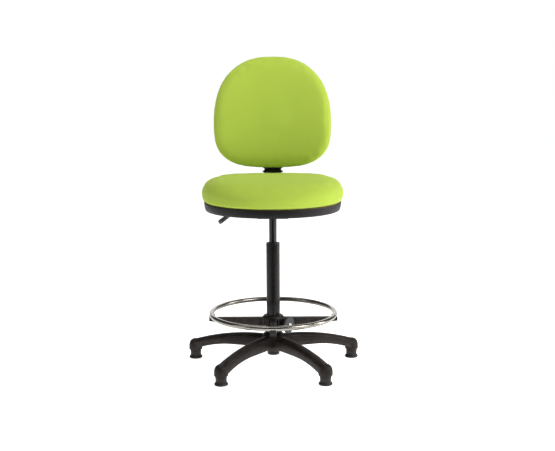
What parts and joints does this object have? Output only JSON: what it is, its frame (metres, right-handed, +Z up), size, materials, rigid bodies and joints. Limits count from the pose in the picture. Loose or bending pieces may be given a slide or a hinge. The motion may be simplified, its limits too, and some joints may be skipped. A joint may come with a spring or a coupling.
{
  "type": "drafting chair",
  "caption": "Height-adjustable swivel drafting chair with upholstered seat and back, chromed foot ring and star base on glides.",
  "frame": {"origin": "on the floor, midway between the rear arm's end and the front arms' ends, 29.5 mm behind the column's axis", "axes": "+Z up; the sitter faces -Y; +X is the sitter's left"},
  "size_m": [0.6376, 0.6087, 1.119],
  "materials": {
    "base_nylon": "satin moulded black nylon",
    "glide_plastic": "satin moulded black",
    "plated_steel": "bright zinc",
    "painted_steel": "semi-gloss black powder coat",
    "white_acetal": "smooth",
    "black_rubber": "matte",
    "chromed_tube": "polished chrome",
    "knob_plastic": "satin black",
    "shell_plastic": "fine-grained black",
    "plywood": "raw plywood",
    "green_fabric": "lime green upholstery weave"
  },
  "bodies": {
    "base": {"star_base": "base_nylon", "glide_1": "glide_plastic", "glide_2": "glide_plastic", "glide_3": "glide_plastic", "glide_4": "glide_plastic", "glide_5": "glide_plastic", "glide_stem_1": "plated_steel", "glide_stem_2": "plated_steel", "glide_stem_3": "plated_steel", "glide_stem_4": "plated_steel", "glide_stem_5": "plated_steel", "column_tube": "painted_steel", "guide_bush": "white_acetal", "bearing_race_lower": "plated_steel", "bearing_ball_ring": "plated_steel"},
    "column_rod": {"bearing_race_upper": "plated_steel", "rubber_bumper": "black_rubber", "piston_rod": "plated_steel", "rod_clip": "plated_steel", "gas_piston": "plated_steel"},
    "foot_ring": {"footring_hub": "base_nylon", "footring_tube": "chromed_tube", "ring_screw_1": "plated_steel", "ring_screw_2": "plated_steel", "ring_screw_3": "plated_steel", "ring_screw_4": "plated_steel"},
    "ring_pad": {"ring_clamp_pad": "white_acetal"},
    "ring_knob": {"ring_clamp_stud": "plated_steel", "ring_clamp_knob": "knob_plastic"},
    "seat": {"gas_cylinder": "painted_steel", "taper_socket": "painted_steel", "mechanism_tray": "painted_steel", "seat_board": "plywood", "seat_shell": "shell_plastic", "seat_cushion": "green_fabric", "seat_bolt_1": "plated_steel", "seat_bolt_2": "plated_steel", "seat_bolt_3": "plated_steel", "seat_bolt_4": "plated_steel", "lever_pin": "plated_steel", "tilt_pin": "plated_steel", "tilt_spring": "plated_steel"},
    "pin": {"release_pin": "plated_steel"},
    "lever": {"lever_rod": "plated_steel", "lever_handle": "knob_plastic"},
    "back_support": {"back_bracket": "painted_steel", "back_bar": "painted_steel", "bar_bolt_1": "plated_steel", "bar_bolt_2": "plated_steel", "bar_gaiter": "black_rubber"},
    "backrest": {"back_carrier": "painted_steel", "back_board": "plywood", "back_cushion": "green_fabric", "back_shell": "shell_plastic", "board_screw_1": "plated_steel", "board_screw_2": "plated_steel"},
    "back_pad": {"back_clamp_pad": "white_acetal"},
    "back_knob": {"back_clamp_stud": "plated_steel", "back_clamp_knob": "knob_plastic"}
  },
  "joints": [
    {"name": "swivel", "type": "hinge", "parent": "base", "child": "column_rod", "pos_m": [0, -0.02951, 0], "axis": [0, 0, 1], "continuous": true},
    {"name": "seat_height", "type": "slide", "parent": "column_rod", "child": "seat", "axis": [0, 0, 1], "range_m": [-0.09, 0.13]},
    {"name": "height_lever", "type": "hinge", "parent": "seat", "child": "lever", "pos_m": [-0.03, -0.02951, 0.584], "axis": [0, 1, 0], "range_deg": [0, 7], "stiffness_Nm_per_rad": 1.5},
    {"name": "release_pin", "type": "slide", "parent": "seat", "child": "pin", "axis": [0, 0, 1], "range_m": [-0.0045, 0]},
    {"name": "back_tilt", "type": "hinge", "parent": "seat", "child": "back_support", "pos_m": [0, 0.08049, 0.575], "axis": [1, 0, 0], "range_deg": [-12, 3], "deforming": ["tilt_spring"]},
    {"name": "back_height", "type": "slide", "parent": "back_support", "child": "backrest", "axis": [0, 0.1045, 0.9945], "range_m": [0, 0.075], "deforming": ["bar_gaiter"]},
    {"name": "back_clamp_press", "type": "slide", "parent": "backrest", "child": "back_pad", "axis": [0, 0.9945, -0.1045], "range_m": [0, 0.0026]},
    {"name": "back_clamp_turn", "type": "hinge", "parent": "back_pad", "child": "back_knob", "pos_m": [0, 0.21882, 0.78644], "axis": [0, 0.9945, -0.1045], "range_deg": [0, 720]},
    {"name": "ring_height", "type": "slide", "parent": "base", "child": "foot_ring", "axis": [0, 0, 1], "range_m": [0, 0.2]},
    {"name": "ring_clamp_press", "type": "slide", "parent": "foot_ring", "child": "ring_pad", "axis": [0.809, -0.5878, 0], "range_m": [0, 0.0026]},
    {"name": "ring_clamp_turn", "type": "hinge", "parent": "ring_pad", "child": "ring_knob", "pos_m": [0, -0.02951, 0.16], "axis": [0.809, -0.5878, 0], "range_deg": [0, 720]}
  ],
  "couplings": [
    {"joint": "release_pin", "follows": "height_lever", "m_per_rad": -0.0335},
    {"joint": "ring_clamp_press", "follows": "ring_clamp_turn", "m_per_rad": 0.00019894},
    {"joint": "back_clamp_press", "follows": "back_clamp_turn", "m_per_rad": 0.00019894}
  ]
}
